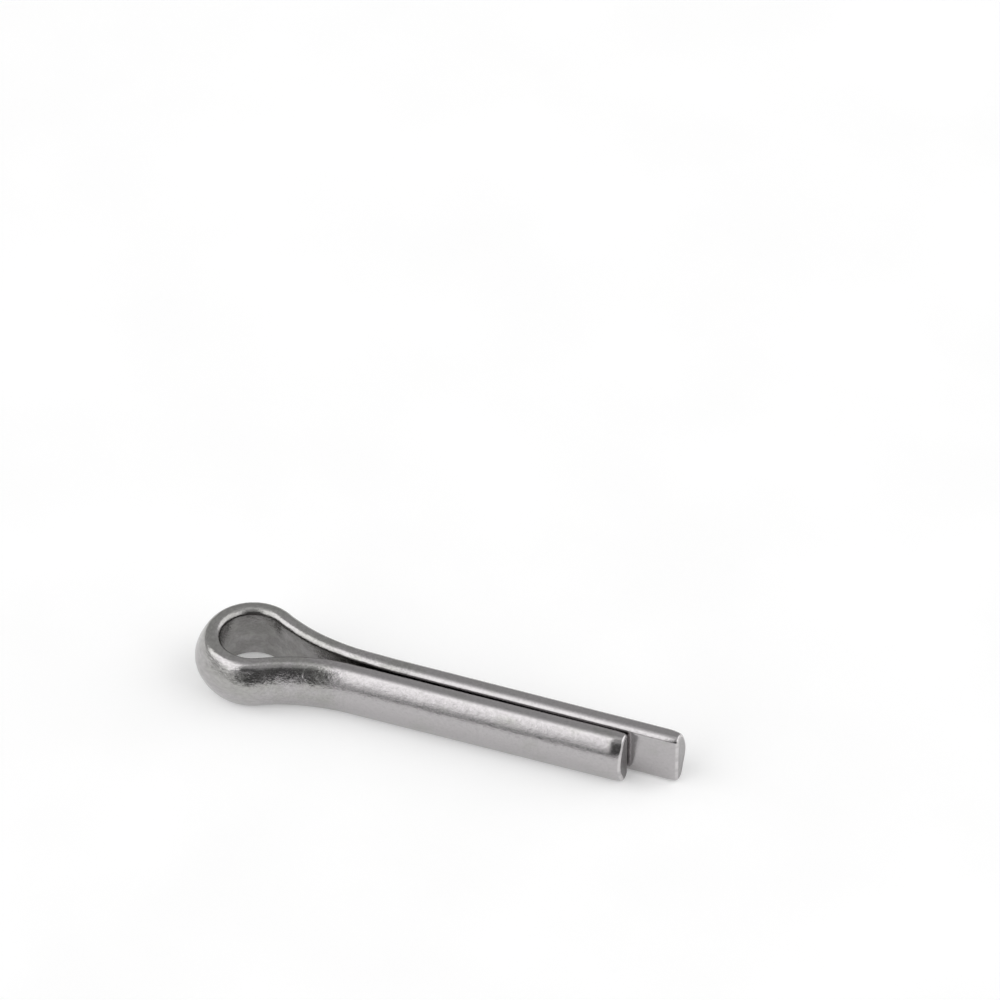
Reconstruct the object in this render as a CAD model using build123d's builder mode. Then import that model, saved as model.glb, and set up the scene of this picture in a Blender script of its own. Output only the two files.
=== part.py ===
from build123d import *
import os
from math import atan, cos, degrees, sin, sqrt

# Split cotter pin for a 5 mm hole: one length of D-section wire, bent back on itself with its
# flat inside. The bend is a round eye, and the two legs lie flat to flat behind it.
# Sizes are in millimetres. X runs along the legs to their tips, Z along the eye's axis, and the
# origin is on the shank's axis, where the long leg starts to run straight.

# Wire
wire_height = 4.6         # across the flat, along the eye's axis
wire_thickness = 2.02     # from the flat to the crown of the rounded side
corner_radius = 0.55      # where the flat turns into the rounded side

# Eye
eye_inner_radius = 2.5    # of the flat, round the eye's axis
eye_offset = 0.12         # how far the eye's centre stands to the long leg's side

# Neck and legs
neck_radius = 15.5        # of the flat, where each side bends back from the eye to its leg
neck_gap = 0.64           # between the flats where the legs start
tip_gap = 0.50            # between the flats at the short leg's tip
short_leg_length = 22.1   # from the origin's plane to the short leg's cut end
long_leg_extra = 3.9      # how much further the long leg reaches
tip_edge_radius = 0.15    # edges of the cut ends

# The legs close in a little towards their tips.
leg_lean = atan((neck_gap - tip_gap) / 2 / short_leg_length)
neck_centre_y = neck_gap / 2 + neck_radius * cos(leg_lean)
eye_to_neck_centre = eye_inner_radius + neck_radius


def neck_reach(centre_rise):
    """Distance along X from the eye's centre to the neck bend's centre, with the bends tangent."""
    return sqrt(eye_to_neck_centre**2 - centre_rise**2)


# The neck bends' centres stand off each leg's flat. The long leg is on the +Y side.
long_neck_centre = Vector(neck_radius * sin(leg_lean), neck_centre_y)
eye_centre = Vector(long_neck_centre.X - neck_reach(neck_centre_y - eye_offset), eye_offset)
short_neck_centre = Vector(eye_centre.X + neck_reach(neck_centre_y + eye_offset), -neck_centre_y)


def leg_start(neck_centre, side):
    """Where a leg's flat leaves its neck bend; side is +1 for the long leg and -1 for the short."""
    return neck_centre - Vector(sin(leg_lean), side * cos(leg_lean)) * neck_radius


def leg_tip(start, reach, side):
    """Where a leg's flat ends, at X = reach."""
    run = reach - start.X
    return start + Vector(run, -side * run * (neck_gap - tip_gap) / 2 / short_leg_length)


def eye_tangent(neck_centre):
    """Where the eye's arc meets a neck bend: on the line between their centres."""
    return eye_centre + (neck_centre - eye_centre).normalized() * eye_inner_radius


long_start = leg_start(long_neck_centre, 1)
long_tip = leg_tip(long_start, short_leg_length + long_leg_extra, 1)
short_start = leg_start(short_neck_centre, -1)
short_tip = leg_tip(short_start, short_leg_length, -1)
eye_back = eye_centre - Vector(eye_inner_radius, 0)

# The flat's middle line: long leg, neck, eye, neck, short leg, each tangent to the next.
with BuildLine() as wire_path:
    Line(long_tip, long_start)
    TangentArc(long_start, eye_tangent(long_neck_centre), tangent=long_start - long_tip)
    ThreePointArc(eye_tangent(long_neck_centre), eye_back, eye_tangent(short_neck_centre))
    TangentArc(
        short_start,
        eye_tangent(short_neck_centre),
        tangent=short_start - short_tip,
    )
    Line(short_start, short_tip)

# The wire's section at the long leg's tip, with its local X pointing away from the flat.
half_height = wire_height / 2
tip_plane = Plane(
    origin=long_tip,
    x_dir=(sin(leg_lean), cos(leg_lean), 0),
    z_dir=long_start - long_tip,
)
with BuildSketch(tip_plane) as wire_section:
    with BuildLine():
        EllipticalCenterArc(
            (corner_radius, 0),
            x_radius=wire_thickness - corner_radius,
            y_radius=half_height,
            start_angle=-90,
            arc_size=180,
        )
        CenterArc((corner_radius, half_height - corner_radius), corner_radius, 90, 90)
        Line((0, half_height - corner_radius), (0, corner_radius - half_height))
        CenterArc((corner_radius, corner_radius - half_height), corner_radius, 180, 90)
    make_face()

with BuildPart() as split_pin:
    sweep(sections=wire_section.sketch, path=wire_path.line)
    for tip in (long_tip, short_tip):
        end_face = split_pin.faces().sort_by_distance(tip)[0]
        fillet(end_face.edges(), tip_edge_radius)
split_pin.part.label = "split_pin"

os.makedirs("parts", exist_ok=True)
export_step(split_pin.part, "parts/split_pin.step")
print("leg lean in degrees", round(degrees(leg_lean), 3))
print("eye centre", round(eye_centre.X, 3), round(eye_centre.Y, 3))
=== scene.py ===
from math import atan, atan2, cos, pi, radians, sin, sqrt

import bpy
import numpy as np
from mathutils import Matrix, Vector, noise


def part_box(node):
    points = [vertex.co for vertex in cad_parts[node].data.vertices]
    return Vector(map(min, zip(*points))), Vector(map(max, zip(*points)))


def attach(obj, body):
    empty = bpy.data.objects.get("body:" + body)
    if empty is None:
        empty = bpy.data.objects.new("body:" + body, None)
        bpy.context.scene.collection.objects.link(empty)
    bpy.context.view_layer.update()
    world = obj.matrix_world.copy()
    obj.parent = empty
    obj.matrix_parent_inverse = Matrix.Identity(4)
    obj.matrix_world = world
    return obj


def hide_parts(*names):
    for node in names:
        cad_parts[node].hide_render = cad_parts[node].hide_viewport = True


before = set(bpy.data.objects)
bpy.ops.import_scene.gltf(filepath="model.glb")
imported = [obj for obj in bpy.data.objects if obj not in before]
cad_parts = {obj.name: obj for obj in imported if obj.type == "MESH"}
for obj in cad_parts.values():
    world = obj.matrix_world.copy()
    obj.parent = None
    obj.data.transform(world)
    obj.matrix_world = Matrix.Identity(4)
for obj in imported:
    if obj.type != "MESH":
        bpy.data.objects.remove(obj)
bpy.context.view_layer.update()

# The split pin's sizes in millimetres. X runs along the legs to their tips, the long leg is on
# the +Y side, and Z is the eye's axis. The wire's route is the CAD part's. Its section is a
# little different: a crown more domed in its middle, thicker legs and a sharper corner in the eye.
MM = 0.001
LOW, HIGH = (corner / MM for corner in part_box("split_pin"))
WIRE_HEIGHT = HIGH.z - LOW.z
WIRE_THICKNESS = 2.02
SHORT_EXTRA = 0.11       # the straight wire is this much thicker than the wire of the eye
LONG_EXTRA = 0.22
CORNER_RADIUS = 0.55
EYE_CORNER = 0.30        # the eye's lower corner, sharper where bending squeezed the flat
CROWN_DOMING = 0.50      # how much more the crown is domed in its middle than a half ellipse
CROWN_SHOULDER = 0.86    # share of the half height past which it stands outside that ellipse
EYE_RADIUS = 2.5
EYE_OFFSET = 0.12
NECK_RADIUS = 15.5
NECK_GAP = 0.64
TIP_GAP = 0.50
SHORT_REACH = 22.1
LONG_REACH = HIGH.x
LEAN = atan((NECK_GAP - TIP_GAP) / 2 / SHORT_REACH)

# How finely the wire's surface is modelled
STATION_STEP = 0.10
RING_POINTS = 112

# How finely its route and section are worked out first
ROUTE_STEP = 0.02
CROWN_POINTS = 1201
FLAT_POINTS = 600
CORNER_POINTS = 200
TURN_WEIGHT = 0.35       # millimetres of outline that a radian of turn counts for


# --------------------------------------------------------------------------------------
# The wire's route and section
# --------------------------------------------------------------------------------------

def arc(centre, radius, first, last, side):
    """Points and outward normals of the flat's line along an arc. Angles are from the side's Y."""
    steps = max(8, int(abs((last - first) * radius) / ROUTE_STEP))
    angle = np.linspace(first, last, steps)
    normal = np.column_stack([np.sin(angle), side * np.cos(angle)])
    return centre + radius * normal, normal


def half_route(side, reach, eye_centre, neck_centre):
    """The flat's line from one leg's tip to the back of the eye. The neck bends the other way."""
    between = neck_centre - eye_centre
    turn = atan2(between[0], side * between[1])
    neck, neck_normal = arc(neck_centre, -NECK_RADIUS, LEAN, turn, side)
    eye, eye_normal = arc(eye_centre, EYE_RADIUS, turn, -pi / 2, side)
    start = neck[0]
    run = reach - start[0]
    tip = start + np.array([run, -side * run * np.tan(LEAN)])
    share = np.linspace(0, 1, int(run / ROUTE_STEP))[:, None]
    leg = tip + (start - tip) * share
    leg_normal = np.repeat(neck_normal[:1], len(leg), axis=0)
    points = np.vstack([leg[:-1], neck[:-1], eye])
    normals = np.vstack([leg_normal[:-1], neck_normal[:-1], eye_normal])
    return points, normals


def at(where, known, values):
    """The two columns of values, known at some distances, at other distances."""
    return np.column_stack([np.interp(where, known, values[:, i]) for i in (0, 1)])


def unit(vectors):
    return vectors / np.linalg.norm(vectors, axis=1)[:, None]


def wire_route():
    """Evenly spaced stations from the short tip to the long one: place, outward normal, distance."""
    rise = NECK_GAP / 2 + NECK_RADIUS * cos(LEAN)
    span = EYE_RADIUS + NECK_RADIUS
    long_centre = np.array([NECK_RADIUS * sin(LEAN), rise])
    eye_x = long_centre[0] - sqrt(span**2 - (rise - EYE_OFFSET) ** 2)
    eye_centre = np.array([eye_x, EYE_OFFSET])
    short_centre = np.array([eye_x + sqrt(span**2 - (rise + EYE_OFFSET) ** 2), -rise])
    short, short_normal = half_route(-1, SHORT_REACH, eye_centre, short_centre)
    long, long_normal = half_route(1, LONG_REACH, eye_centre, long_centre)
    points = np.vstack([short, long[::-1][1:]])
    normals = np.vstack([short_normal, long_normal[::-1][1:]])
    along = np.concatenate([[0], np.cumsum(np.linalg.norm(np.diff(points, axis=0), axis=1))])
    stations = np.linspace(0, along[-1], int(along[-1] / STATION_STEP) + 1)
    return at(stations, along, points), unit(at(stations, along, normals)), stations


ROUTE, ROUTE_NORMAL, STATIONS = wire_route()
WIRE_LENGTH = STATIONS[-1]


def section_outline(corner):
    """The D section as a closed line: distance out from the flat and height, and the normals."""
    half = WIRE_HEIGHT / 2
    t = np.linspace(pi / 2, -pi / 2, CROWN_POINTS)
    u = np.sin(t)
    domed = CROWN_DOMING * u**2 * ((u / CROWN_SHOULDER) ** 2 - 1)
    crown = np.column_stack([corner + (WIRE_THICKNESS - corner) * np.cos(t) + domed, half * u])
    run = np.gradient(crown, axis=0)
    crown_normal = np.column_stack([-run[:, 1], run[:, 0]])
    a = np.linspace(-pi / 2, -pi, CORNER_POINTS)
    low_normal = np.column_stack([np.cos(a), np.sin(a)])
    low = corner * (low_normal + [1, 1]) - [0, half]
    z = np.linspace(corner - half, half - corner, FLAT_POINTS)
    flat = np.column_stack([0 * z, z])
    flat_normal = np.column_stack([0 * z - 1, 0 * z])
    high_normal = low_normal[::-1] * [1, -1]
    high = low[::-1] * [1, -1]
    outline = np.vstack([crown[:-1], low[:-1], flat[:-1], high])
    normal = np.vstack([crown_normal[:-1], low_normal[:-1], flat_normal[:-1], high_normal])
    return outline, unit(normal)


def wire_section(corner):
    """A ring of points round the D section, and their normals. They gather where it turns."""
    outline, normal = section_outline(corner)
    step = np.linalg.norm(np.diff(outline, axis=0), axis=1)
    turn = np.arccos(np.clip((normal[:-1] * normal[1:]).sum(1), -1, 1))
    weight = np.concatenate([[0], np.cumsum(step + TURN_WEIGHT * turn)])
    share = np.linspace(0, weight[-1], RING_POINTS, endpoint=False)
    return at(share, weight, outline), unit(at(share, weight, normal))


# --------------------------------------------------------------------------------------
# Uneven surface: what drawing, bending and cutting leave on the wire
# --------------------------------------------------------------------------------------
# Distance along the wire from the short tip, where each stretch lies
NECK_START = 22.0
EYE_START = 29.3
EYE_END = 46.0
LONG_NECK_END = 53.6

# Where the bending tool gripped the short side: along the wire and up its crown
MARKS_ALONG = (25.6, 32.6)
MARKS_UP = (-0.5, 1.5)
FINE_NICKS = 0.028
BROAD_NICKS = 0.048

# Heights of the unevenness. Bent wire has more of it.
WAVES = 0.010
DIMPLES = 0.0038
RIPPLES = 0.0016
BENT_WAVES = 0.012
BENT_DIMPLES = 0.0040
BENT_PEEL = 0.0042
SUNK = 0.020             # keeps the uneven surface within the plain one

NOISE_SHIFT = (7.31, 3.17, 11.9)


def smooth(x):
    """0 up to 0, 1 from 1, and a smooth step between."""
    x = np.clip(x, 0, 1)
    return x * x * (3 - 2 * x)


def window(x, low, high, soft):
    """1 from low to high, falling smoothly to 0 over the soft distance outside."""
    return smooth((x - low) / soft + 1) * smooth((high - x) / soft + 1)


def noise_field(points, scale, seed):
    """Perlin noise, about -1 to 1, with features about 1/scale millimetres across."""
    shift = Vector([seed * step for step in NOISE_SHIFT])
    scale = Vector(scale)
    flat = points.reshape(-1, 3).tolist()
    found = [noise.noise(Vector(p) * scale + shift) for p in flat]
    return np.array(found).reshape(points.shape[:-1])


def press_marks(local, outward):
    """Nicks across the short side's crown where the bending tool gripped: where, and how high."""
    up = window(local[..., 1], *MARKS_UP, 0.6)
    place = window(local[..., 2], *MARKS_ALONG, 0.8) * up * smooth(outward * 3)
    across = local * [1, 0.35, 1]
    fine = noise_field(across, (0.4, 2.0, 2.7), 5)
    broad = noise_field(across, (0.4, 1.7, 0.9), 6)
    return place, FINE_NICKS * fine + BROAD_NICKS * broad


def unevenness(local, outward, bent):
    """How far the surface stands off the plain section, in millimetres, and the mark mask."""
    slow = noise_field(local, (0.30, 0.30, 0.22), 1)
    dimple = noise_field(local, (1.1, 1.1, 0.75), 2)
    ripple = noise_field(local, (1.8, 1.8, 0.10), 3)
    peel = noise_field(local, (2.2, 2.2, 1.9), 4)
    place, marks = press_marks(local, outward)
    height = WAVES * slow + DIMPLES * dimple + RIPPLES * ripple
    height += bent * (BENT_WAVES * slow + BENT_DIMPLES * dimple + BENT_PEEL * peel)
    height += place * (marks - SUNK)
    return height - SUNK, place


# --------------------------------------------------------------------------------------
# The wire's mesh
# --------------------------------------------------------------------------------------
ROLL_LENGTH = 1.15       # of wire that the shear bends over beside a cut end
ROLL_DEPTH = 0.14
ROLL_ON_FLAT = 0.45      # share of that depth on the flat
ROLL_RAGGED = 0.5        # share of it that comes and goes
RIM_RADIUS = 0.21
RIM_STEPS = 6
CAP_STEPS = 10
CAP_HUB = 0.02           # the last ring's share of the first
END_BULGE = 0.04
END_STEP = 0.05          # the cut face steps back this far inside its edge
END_ROUGH = 0.030
CORNER_BLEND = 4.5       # distances over which the wire changes beside the eye
THICKNESS_BLEND = 5.5
BENT_INSET = 3
BENT_BLEND = 4


def ring_places():
    """Each ring's distance along the wire and its inset. The rims' rings round the cut edges."""
    angle = np.linspace(pi / 2, 0, RIM_STEPS + 1)
    rim = RIM_RADIUS * (1 - np.sin(angle))[:-1]
    rim_inset = RIM_RADIUS * (1 - np.sqrt(1 - (1 - rim / RIM_RADIUS) ** 2))
    count = int((WIRE_LENGTH - 2 * RIM_RADIUS) / STATION_STEP)
    body = np.linspace(RIM_RADIUS, WIRE_LENGTH - RIM_RADIUS, count)
    along = np.concatenate([rim, body, (WIRE_LENGTH - rim)[::-1]])
    inset = np.concatenate([rim_inset, 0 * body, rim_inset[::-1]])
    return along, inset


def plain_rings(along):
    """Each ring's points and normals across the wire, with the sharper lower corner in the eye."""
    ring, normal = wire_section(CORNER_RADIUS)
    eye_ring, eye_normal = wire_section(EYE_CORNER)
    eye = window(along, EYE_START, EYE_END, CORNER_BLEND)[:, None] * smooth(-ring[:, 1] / 0.5)
    eye = eye[:, :, None]
    return ring + eye * (eye_ring - ring), normal + eye * (eye_normal - normal)


def end_sink(along, inset, local, outward):
    """How far the surface is drawn in at the cut ends, by the rounded rim and the shear's roll."""
    from_end = np.minimum(along, WIRE_LENGTH - along)
    roll = ROLL_DEPTH * np.clip(1 - from_end / ROLL_LENGTH, 0, 1) ** 2
    ragged = 1 + ROLL_RAGGED * noise_field(local, (0.8, 0.8, 0.0), 9)
    facing = ROLL_ON_FLAT + (1 - ROLL_ON_FLAT) * np.clip(outward, 0, 1)
    return inset[:, None] + roll[:, None] * ragged * facing


def wire_surface():
    """The wire's skin as a grid: rings along the wire, points round each ring."""
    along, inset = ring_places()
    centre = at(along, STATIONS, ROUTE)
    side = unit(at(along, STATIONS, ROUTE_NORMAL))
    points, normals = plain_rings(along)
    s, z = np.moveaxis(points, -1, 0)
    outward, upward = np.moveaxis(normals, -1, 0)
    local = np.stack([s, z, np.broadcast_to(along[:, None], s.shape)], axis=2)
    bent = window(along, NECK_START + BENT_INSET, LONG_NECK_END - BENT_INSET, BENT_BLEND)[:, None]
    height, marks = unevenness(local, outward, bent)
    # The straight wire is thicker: its flat moves in, and the top of its crown stays.
    straight = 1 - window(along, EYE_START, EYE_END, THICKNESS_BLEND)
    extra = np.where(along < WIRE_LENGTH / 2, SHORT_EXTRA, LONG_EXTRA) * straight
    s = s - extra[:, None] * (1 - s / WIRE_THICKNESS)
    lift = height - end_sink(along, inset, local, outward)
    s = s + outward * lift
    z = z + upward * lift
    x = centre[:, 0, None] + side[:, 0, None] * s
    y = centre[:, 1, None] + side[:, 1, None] * s
    return np.stack([x, y, z], axis=2), local, marks, bent + 0 * s


def cap_rings(edge, local, seed):
    """A cut end's face: rings shrinking to its middle, a little uneven from the shear."""
    middle = edge.mean(0)
    middle_local = local.mean(0)
    rings = []
    for k in range(1, CAP_STEPS + 1):
        share = 1 - k / CAP_STEPS
        loop = middle + (edge - middle) * max(share, CAP_HUB)
        loop_local = middle_local + (local - middle_local) * max(share, CAP_HUB)
        rough = noise_field(loop_local, (1.6, 0.9, 0.0), seed)
        inner = smooth((1 - share) * 3)
        push = END_BULGE * (1 - share**2) - END_STEP + END_ROUGH * rough * inner
        loop[:, 0] += push + END_STEP * (1 - inner)
        rings.append((loop, loop_local))
    return rings


def add_values(mesh, name, kind, field, values):
    """Gives each of the mesh's points a value that the materials read by its name."""
    layer = mesh.attributes.new(name, kind, "POINT")
    layer.data.foreach_set(field, values.astype(np.float32).ravel())


def wire_mesh(name):
    """The skin's faces, then those of the two cut ends, which have the second material."""
    skin, local, marks, bent = wire_surface()
    rings, count = skin.shape[:2]
    points = [skin.reshape(-1, 3)]
    coords = [local.reshape(-1, 3)]
    index = np.arange(rings * count).reshape(rings, count)
    near, far = index[:-1], index[1:]
    quads = np.stack([near, far, np.roll(far, -1, 1), np.roll(near, -1, 1)], axis=2)
    faces = quads.reshape(-1, 4).tolist()
    skin_count = len(faces)
    base = rings * count
    for row, way in ((0, -1), (rings - 1, 1)):
        last = index[row]
        for loop, loop_local in cap_rings(skin[row], local[row], 20 + way):
            points.append(loop)
            coords.append(loop_local)
            new = np.arange(base, base + count)
            base += count
            corners = [last, new, np.roll(new, -1), np.roll(last, -1)]
            faces += np.stack(corners[::way], axis=1).tolist()
            last = new
        faces.append(last.tolist()[::-way])
    mesh = bpy.data.meshes.new(name)
    mesh.from_pydata((np.vstack(points) * MM).tolist(), [], faces)
    mesh.update()
    caps = np.zeros(base - rings * count)
    add_values(mesh, "wire", "FLOAT_VECTOR", "vector", np.vstack(coords))
    add_values(mesh, "marks", "FLOAT", "value", np.concatenate([marks.reshape(-1), caps]))
    add_values(mesh, "strain", "FLOAT", "value", np.concatenate([bent.reshape(-1), caps]))
    slots = np.zeros(len(faces), np.int32)
    slots[skin_count:] = 1
    mesh.polygons.foreach_set("material_index", slots)
    mesh.polygons.foreach_set("use_smooth", np.ones(len(faces), bool))
    return mesh


# --------------------------------------------------------------------------------------
# Materials
# --------------------------------------------------------------------------------------

class Nodes:
    """Short ways to add and join shader nodes in one material or world."""

    def __init__(self, tree):
        tree.nodes.clear()
        self.tree = tree

    def add(self, kind, **settings):
        node = self.tree.nodes.new(kind)
        for key, value in settings.items():
            setattr(node, key, value)
        return node

    def put(self, value, socket):
        """Sets the socket to a number or colour, or links another node's output to it."""
        if isinstance(value, bpy.types.NodeSocket):
            self.tree.links.new(value, socket)
        else:
            socket.default_value = value

    def attribute(self, name, output):
        return self.add("ShaderNodeAttribute", attribute_name=name).outputs[output]

    def split(self, vector):
        """The vector's X, Y and Z."""
        node = self.add("ShaderNodeSeparateXYZ")
        self.put(vector, node.inputs[0])
        return node.outputs

    def math(self, operation, a, b=0.0):
        node = self.add("ShaderNodeMath", operation=operation)
        self.put(a, node.inputs[0])
        self.put(b, node.inputs[1])
        return node.outputs[0]

    def scaled(self, vector, scale):
        node = self.add("ShaderNodeVectorMath", operation="MULTIPLY")
        self.put(vector, node.inputs[0])
        self.put(scale, node.inputs[1])
        return node.outputs[0]

    def noise(self, vector, scale, detail=2.0, roughness=0.5):
        node = self.add("ShaderNodeTexNoise")
        self.put(self.scaled(vector, scale), node.inputs["Vector"])
        self.put(1.0, node.inputs["Scale"])
        self.put(detail, node.inputs["Detail"])
        self.put(roughness, node.inputs["Roughness"])
        return node.outputs["Fac"]

    def between(self, value, low, high, first=0.0, last=1.0):
        """Maps low..high smoothly to first..last and holds the ends."""
        node = self.add("ShaderNodeMapRange", interpolation_type="SMOOTHSTEP")
        self.put(value, node.inputs["Value"])
        self.put(low, node.inputs["From Min"])
        self.put(high, node.inputs["From Max"])
        self.put(first, node.inputs["To Min"])
        self.put(last, node.inputs["To Max"])
        return node.outputs[0]

    def mix(self, factor, a, b):
        node = self.add("ShaderNodeMix", data_type="RGBA")
        self.put(factor, node.inputs[0])
        self.put(a, node.inputs[6])
        self.put(b, node.inputs[7])
        return node.outputs[2]

    def bump(self, height, depth, normal=None):
        """Bumps the surface by the height, 0 to 1, times the depth in metres."""
        node = self.add("ShaderNodeBump")
        self.put(height, node.inputs["Height"])
        self.put(depth, node.inputs["Distance"])
        if normal is not None:
            self.put(normal, node.inputs["Normal"])
        return node.outputs[0]


WARM_STEEL = (0.452, 0.436, 0.441, 1)
COOL_STEEL = (0.400, 0.395, 0.382, 1)
DULL_STEEL = (0.350, 0.339, 0.341, 1)
# painted shade for the flat inside the eye
EYE_SHADE_STEEL = (0.325, 0.318, 0.310, 1)
# painted highlight for the cut edges
EDGE_HIGHLIGHT_STEEL = (0.600, 0.582, 0.585, 1)
# the short end's cut face, painted darker than the long end's as shade
SHADED_SHORT_CUT = (0.245, 0.236, 0.237, 1)
LONG_CUT = (0.390, 0.378, 0.380, 1)

# Depths of the bumps in metres
LINE_DEPTH = 2.2e-6
GRAIN_DEPTH = 2.8e-6
PEEL_DEPTH = 7e-6
BENT_PEEL_DEPTH = 22e-6
NICK_DEPTH = 26e-6
TEAR_DEPTH = 50e-6
SPECKLE_DEPTH = 20e-6


def metal(name):
    """A new metal material, its nodes and shader, and the place on the wire of what it shades."""
    material = bpy.data.materials.new(name)
    material.use_nodes = True
    nodes = Nodes(material.node_tree)
    output = nodes.add("ShaderNodeOutputMaterial")
    shader = nodes.add("ShaderNodeBsdfPrincipled")
    shader.inputs["Metallic"].default_value = 1.0
    nodes.put(shader.outputs[0], output.inputs[0])
    return material, nodes, shader, nodes.attribute("wire", "Vector")


def mottled_steel(nodes, wire, strain, cloud):
    """Warm and cool steel with duller clouds. Bent wire is cooler."""
    tone = nodes.noise(wire, (0.5, 0.5, 0.35), 3.0, 0.6)
    begin = nodes.between(strain, 0.0, 1.0, 0.52, 0.36)
    finish = nodes.between(strain, 0.0, 1.0, 0.78, 0.62)
    colour = nodes.mix(nodes.between(tone, begin, finish), WARM_STEEL, COOL_STEEL)
    return nodes.mix(nodes.between(cloud, 0.52, 0.78, 0.0, 0.55), colour, DULL_STEEL)


def painted_eye_shade(nodes, wire, strain, out):
    """How much painted shade darkens the flat inside the eye, in patches."""
    inside = nodes.between(out, 0.05, 0.30, 1.0, 0.0)
    patches = nodes.between(nodes.noise(wire, (0.5, 0.7, 0.55), 3.0), 0.38, 0.56, 0.15, 0.95)
    return nodes.math("MULTIPLY", nodes.math("MULTIPLY", inside, strain), patches)


def frosting(nodes, wire, strain):
    """Fine light and dark, stronger where bending has strained the steel."""
    dark = nodes.between(strain, 0.0, 1.0, 0.955, 0.895)
    light = nodes.between(strain, 0.0, 1.0, 1.035, 1.085)
    frost = nodes.noise(wire, (5.0, 5.0, 4.2), 3.0, 0.7)
    return nodes.between(frost, 0.32, 0.68, dark, light)


def painted_edge_highlight(nodes, wire, along):
    """How strongly a painted highlight brightens the sheared edges, in broken patches."""
    middle = WIRE_LENGTH / 2
    from_middle = nodes.math("ABSOLUTE", nodes.math("SUBTRACT", along, middle))
    edge = nodes.between(from_middle, middle - 0.24, middle - 0.12)
    broken = nodes.between(nodes.noise(wire, (1.8, 1.4, 0.0), 2.0), 0.35, 0.60, 0.20, 1.0)
    return nodes.math("MULTIPLY", edge, broken)


def drawn_relief(nodes, wire, strain):
    """Fine draw lines along the wire, grain, orange peel, and nicks at the press marks."""
    lines = nodes.noise(wire, (11.0, 11.0, 0.22), 3.0, 0.6)
    grain = nodes.noise(wire, (16.0, 16.0, 9.0), 3.0, 0.6)
    peel = nodes.noise(wire, (3.6, 3.6, 3.2), 3.0, 0.65)
    nicks = nodes.noise(wire, (1.0, 1.8, 5.5), 3.0, 0.6)
    marks = nodes.attribute("marks", "Fac")
    normal = nodes.bump(lines, LINE_DEPTH)
    normal = nodes.bump(grain, GRAIN_DEPTH, normal)
    peel_depth = nodes.between(strain, 0.0, 1.0, PEEL_DEPTH, BENT_PEEL_DEPTH)
    normal = nodes.bump(peel, peel_depth, normal)
    return nodes.bump(nodes.math("MULTIPLY", nicks, marks), NICK_DEPTH, normal)


def drawn_steel():
    """Bright drawn stainless wire, frosted where it is bent, with painted shade on the flat inside
    the eye and a painted highlight along the cut edges.
    """
    material, nodes, shader, wire = metal("drawn_steel")
    out, _, along = nodes.split(wire)
    strain = nodes.attribute("strain", "Fac")
    cloud = nodes.noise(wire, (4.0, 4.0, 2.2), 4.0, 0.65)
    colour = mottled_steel(nodes, wire, strain, cloud)
    # Painted shade darkens the flat inside the eye, in patches.
    colour = nodes.mix(painted_eye_shade(nodes, wire, strain, out), colour, EYE_SHADE_STEEL)
    colour = nodes.scaled(colour, frosting(nodes, wire, strain))
    # Painted highlight along the sheared edges.
    colour = nodes.mix(painted_edge_highlight(nodes, wire, along), colour, EDGE_HIGHLIGHT_STEEL)
    nodes.put(colour, shader.inputs["Base Color"])
    roughness = nodes.between(cloud, 0.30, 0.75, 0.12, 0.21)
    frosted = nodes.math("MULTIPLY", strain, 0.035)
    nodes.put(nodes.math("ADD", roughness, frosted), shader.inputs["Roughness"])
    nodes.put(drawn_relief(nodes, wire, strain), shader.inputs["Normal"])
    return material


def cut_steel():
    """The sheared ends: duller, with tear marks across the thickness. The short end's face is
    painted darker than the long end's, as painted shade.
    """
    material, nodes, shader, wire = metal("cut_steel")
    tear = nodes.noise(wire, (1.3, 7.0, 0.0), 4.0, 0.65)
    speckle = nodes.noise(wire, (8.0, 8.0, 0.0), 3.0, 0.6)
    along = nodes.split(wire)["Z"]
    # Painted shade: the short end's cut face is darker than the long end's.
    end_shade = nodes.mix(nodes.between(along, 1.0, 2.0), SHADED_SHORT_CUT, LONG_CUT)
    colour = nodes.mix(nodes.between(speckle, 0.35, 0.65, 0.0, 0.5), end_shade, DULL_STEEL)
    nodes.put(colour, shader.inputs["Base Color"])
    nodes.put(nodes.between(tear, 0.3, 0.7, 0.26, 0.42), shader.inputs["Roughness"])
    normal = nodes.bump(tear, TEAR_DEPTH)
    normal = nodes.bump(speckle, SPECKLE_DEPTH, normal)
    nodes.put(normal, shader.inputs["Normal"])
    return material


# --------------------------------------------------------------------------------------
# Studio
# --------------------------------------------------------------------------------------
ROOM = 0.47
ZENITH = 0.72
ZENITH_BEGINS = 55
ZENITH_FULL = 80

# Each panel's azimuth from and to, the width of those two soft edges, the elevations where it
# begins, is full, starts to fade and ends, all in degrees, and its brightness. Azimuth is from
# +X towards +Y, so the camera's is -70.
PANELS = (
    (-190, -90, 10, -6, -2, 1, 7, 0.08),    # a dark horizon under the light on the left
    (-181, -101, 9, 3, 15, 50, 88, 1.84),   # the light on the left
    (-34, 60, 12, 4, 16, 52, 68, 1.45),     # the light on the right
    (-99, -44, 7, -8, 0, 26, 36, 0.09),     # a dark card under the camera
)


def band(nodes, value, low, high, soft):
    """1 between low and high and 0 outside, with soft edges."""
    rising = nodes.between(value, low - soft / 2, low + soft / 2)
    falling = nodes.between(value, high - soft / 2, high + soft / 2, 1.0, 0.0)
    return nodes.math("MULTIPLY", rising, falling)


def azimuth_from(nodes, direction, middle):
    """Degrees round the vertical from the panel's middle."""
    turn = nodes.add("ShaderNodeVectorRotate", rotation_type="Z_AXIS")
    nodes.put(direction, turn.inputs["Vector"])
    nodes.put(-radians(middle), turn.inputs["Angle"])
    x, y, _ = nodes.split(turn.outputs[0])
    return nodes.math("DEGREES", nodes.math("ARCTAN2", y, x))


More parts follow.
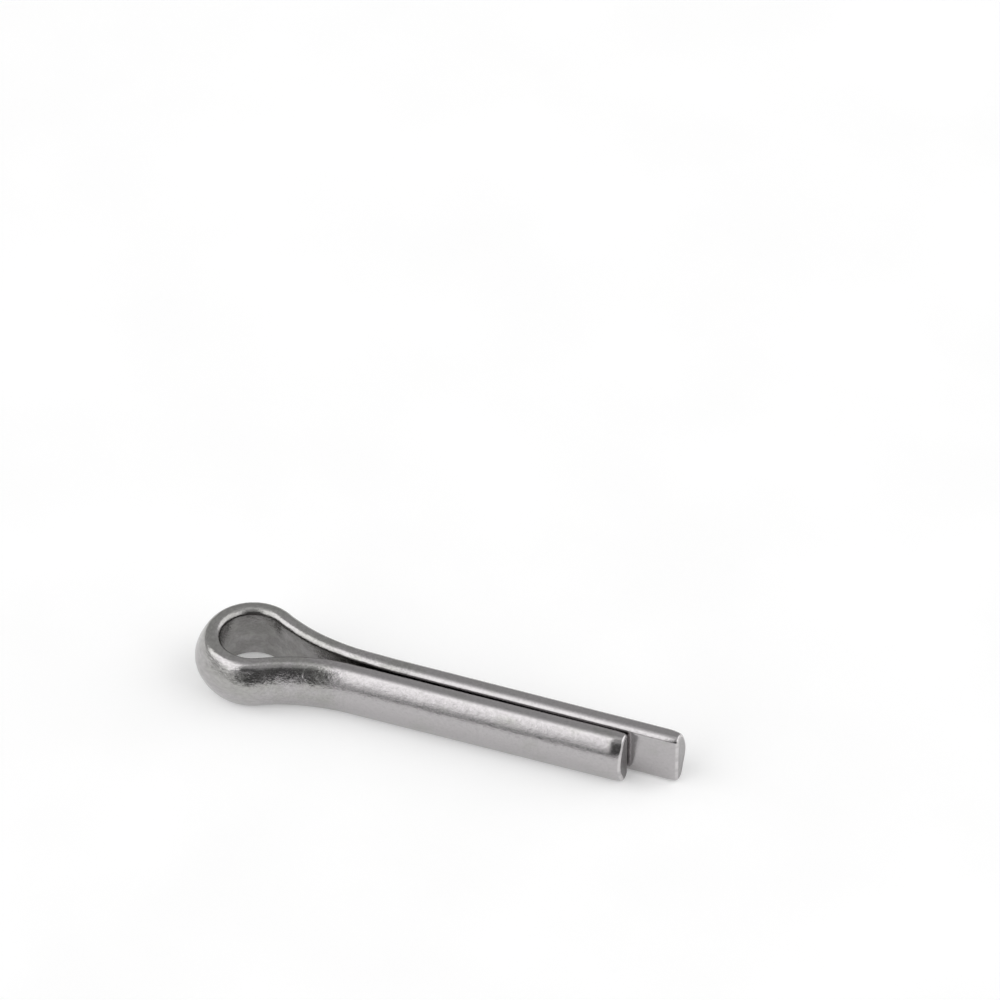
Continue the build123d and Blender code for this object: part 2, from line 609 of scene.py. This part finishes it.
def studio_world():
    """Light from all round: a plain room, brighter overhead, with the panels set into it."""
    world = bpy.data.worlds.new("studio")
    bpy.context.scene.world = world
    world.use_nodes = True
    nodes = Nodes(world.node_tree)
    output = nodes.add("ShaderNodeOutputWorld")
    direction = nodes.add("ShaderNodeTexCoord").outputs["Generated"]
    height = nodes.split(direction)["Z"]
    elevation = nodes.math("DEGREES", nodes.math("ARCSINE", height))
    light = nodes.between(elevation, ZENITH_BEGINS, ZENITH_FULL, ROOM, ZENITH)
    for azimuth_low, azimuth_high, soft, begin, full, fade, end, strength in PANELS:
        azimuth = azimuth_from(nodes, direction, (azimuth_low + azimuth_high) / 2)
        half = (azimuth_high - azimuth_low) / 2
        across = band(nodes, azimuth, -half, half, soft)
        rising = nodes.between(elevation, begin, full)
        upright = nodes.math("MULTIPLY", rising, nodes.between(elevation, fade, end, 1.0, 0.0))
        mix = nodes.add("ShaderNodeMix", data_type="FLOAT")
        nodes.put(nodes.math("MULTIPLY", across, upright), mix.inputs["Factor"])
        nodes.put(light, mix.inputs["A"])
        nodes.put(strength, mix.inputs["B"])
        light = mix.outputs["Result"]
    background = nodes.add("ShaderNodeBackground")
    background.inputs["Color"].default_value = (1, 1, 1, 1)
    nodes.put(light, background.inputs["Strength"])
    nodes.put(background.outputs[0], output.inputs[0])


FLOOR_HALF = 1.5         # metres
FLOOR_PAINT = 0.82
FLOOR_MOTTLE = 0.012
FLOOR_LIFT = 0.24


def floor_material():
    """Matt white, lifted to white where it is looked at or mirrored. It still takes a shadow."""
    material = bpy.data.materials.new("pale_floor")
    material.use_nodes = True
    nodes = Nodes(material.node_tree)
    output = nodes.add("ShaderNodeOutputMaterial")
    paint = nodes.add("ShaderNodeBsdfDiffuse")
    place = nodes.add("ShaderNodeTexCoord").outputs["Object"]
    grain = nodes.noise(place, (60.0, 60.0, 60.0), 3.0)
    shade = nodes.between(grain, 0.3, 0.7, FLOOR_PAINT - FLOOR_MOTTLE, FLOOR_PAINT + FLOOR_MOTTLE)
    nodes.put(shade, paint.inputs["Color"])
    path = nodes.add("ShaderNodeLightPath")
    seen = nodes.math("MAXIMUM", path.outputs["Is Camera Ray"], path.outputs["Is Glossy Ray"])
    seen = nodes.math("MAXIMUM", seen, path.outputs["Is Transmission Ray"])
    lift = nodes.add("ShaderNodeEmission")
    nodes.put(nodes.math("MULTIPLY", seen, FLOOR_LIFT), lift.inputs["Strength"])
    total = nodes.add("ShaderNodeAddShader")
    nodes.put(paint.outputs[0], total.inputs[0])
    nodes.put(lift.outputs[0], total.inputs[1])
    nodes.put(total.outputs[0], output.inputs[0])
    return material


def build_floor():
    z = LOW.z * MM
    corners = [(x * FLOOR_HALF, y * FLOOR_HALF, z) for x, y in ((-1, -1), (1, -1), (1, 1), (-1, 1))]
    mesh = bpy.data.meshes.new("floor")
    mesh.from_pydata(corners, [], [(0, 1, 2, 3)])
    mesh.materials.append(floor_material())
    floor = bpy.data.objects.new("floor", mesh)
    bpy.context.scene.collection.objects.link(floor)


# The camera looks down over the short leg's side, a little from the tips' end. Millimetres.
CAMERA_TURN = radians(20.18)
CAMERA_RISE = radians(42.6)
CAMERA_DISTANCE = 867.0
CAMERA_RIGHT = 10.88
CAMERA_UP = 14.05
CAMERA_LENS = 405.3
CAMERA_SENSOR = 36


def build_camera():
    level = cos(CAMERA_RISE)
    back = Vector((sin(CAMERA_TURN) * level, -cos(CAMERA_TURN) * level, sin(CAMERA_RISE)))
    right = Vector((cos(CAMERA_TURN), sin(CAMERA_TURN), 0))
    up = back.cross(right)
    place = (right * CAMERA_RIGHT + up * CAMERA_UP + back * CAMERA_DISTANCE) * MM
    data = bpy.data.cameras.new("camera")
    data.lens = CAMERA_LENS
    data.sensor_width = CAMERA_SENSOR
    data.clip_start = 0.05
    data.clip_end = 20
    camera = bpy.data.objects.new("camera", data)
    camera.matrix_world = Matrix((
        (right.x, up.x, back.x, place.x),
        (right.y, up.y, back.y, place.y),
        (right.z, up.z, back.z, place.z),
        (0, 0, 0, 1),
    ))
    bpy.context.scene.collection.objects.link(camera)
    bpy.context.scene.camera = camera


mesh = wire_mesh("bright_wire_pin")
pin = bpy.data.objects.new("bright_wire_pin", mesh)
bpy.context.scene.collection.objects.link(pin)
mesh.materials.append(drawn_steel())
mesh.materials.append(cut_steel())
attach(pin, "root")
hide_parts("split_pin")

studio_world()
build_floor()
build_camera()
bpy.context.scene.view_settings.view_transform = "Standard"
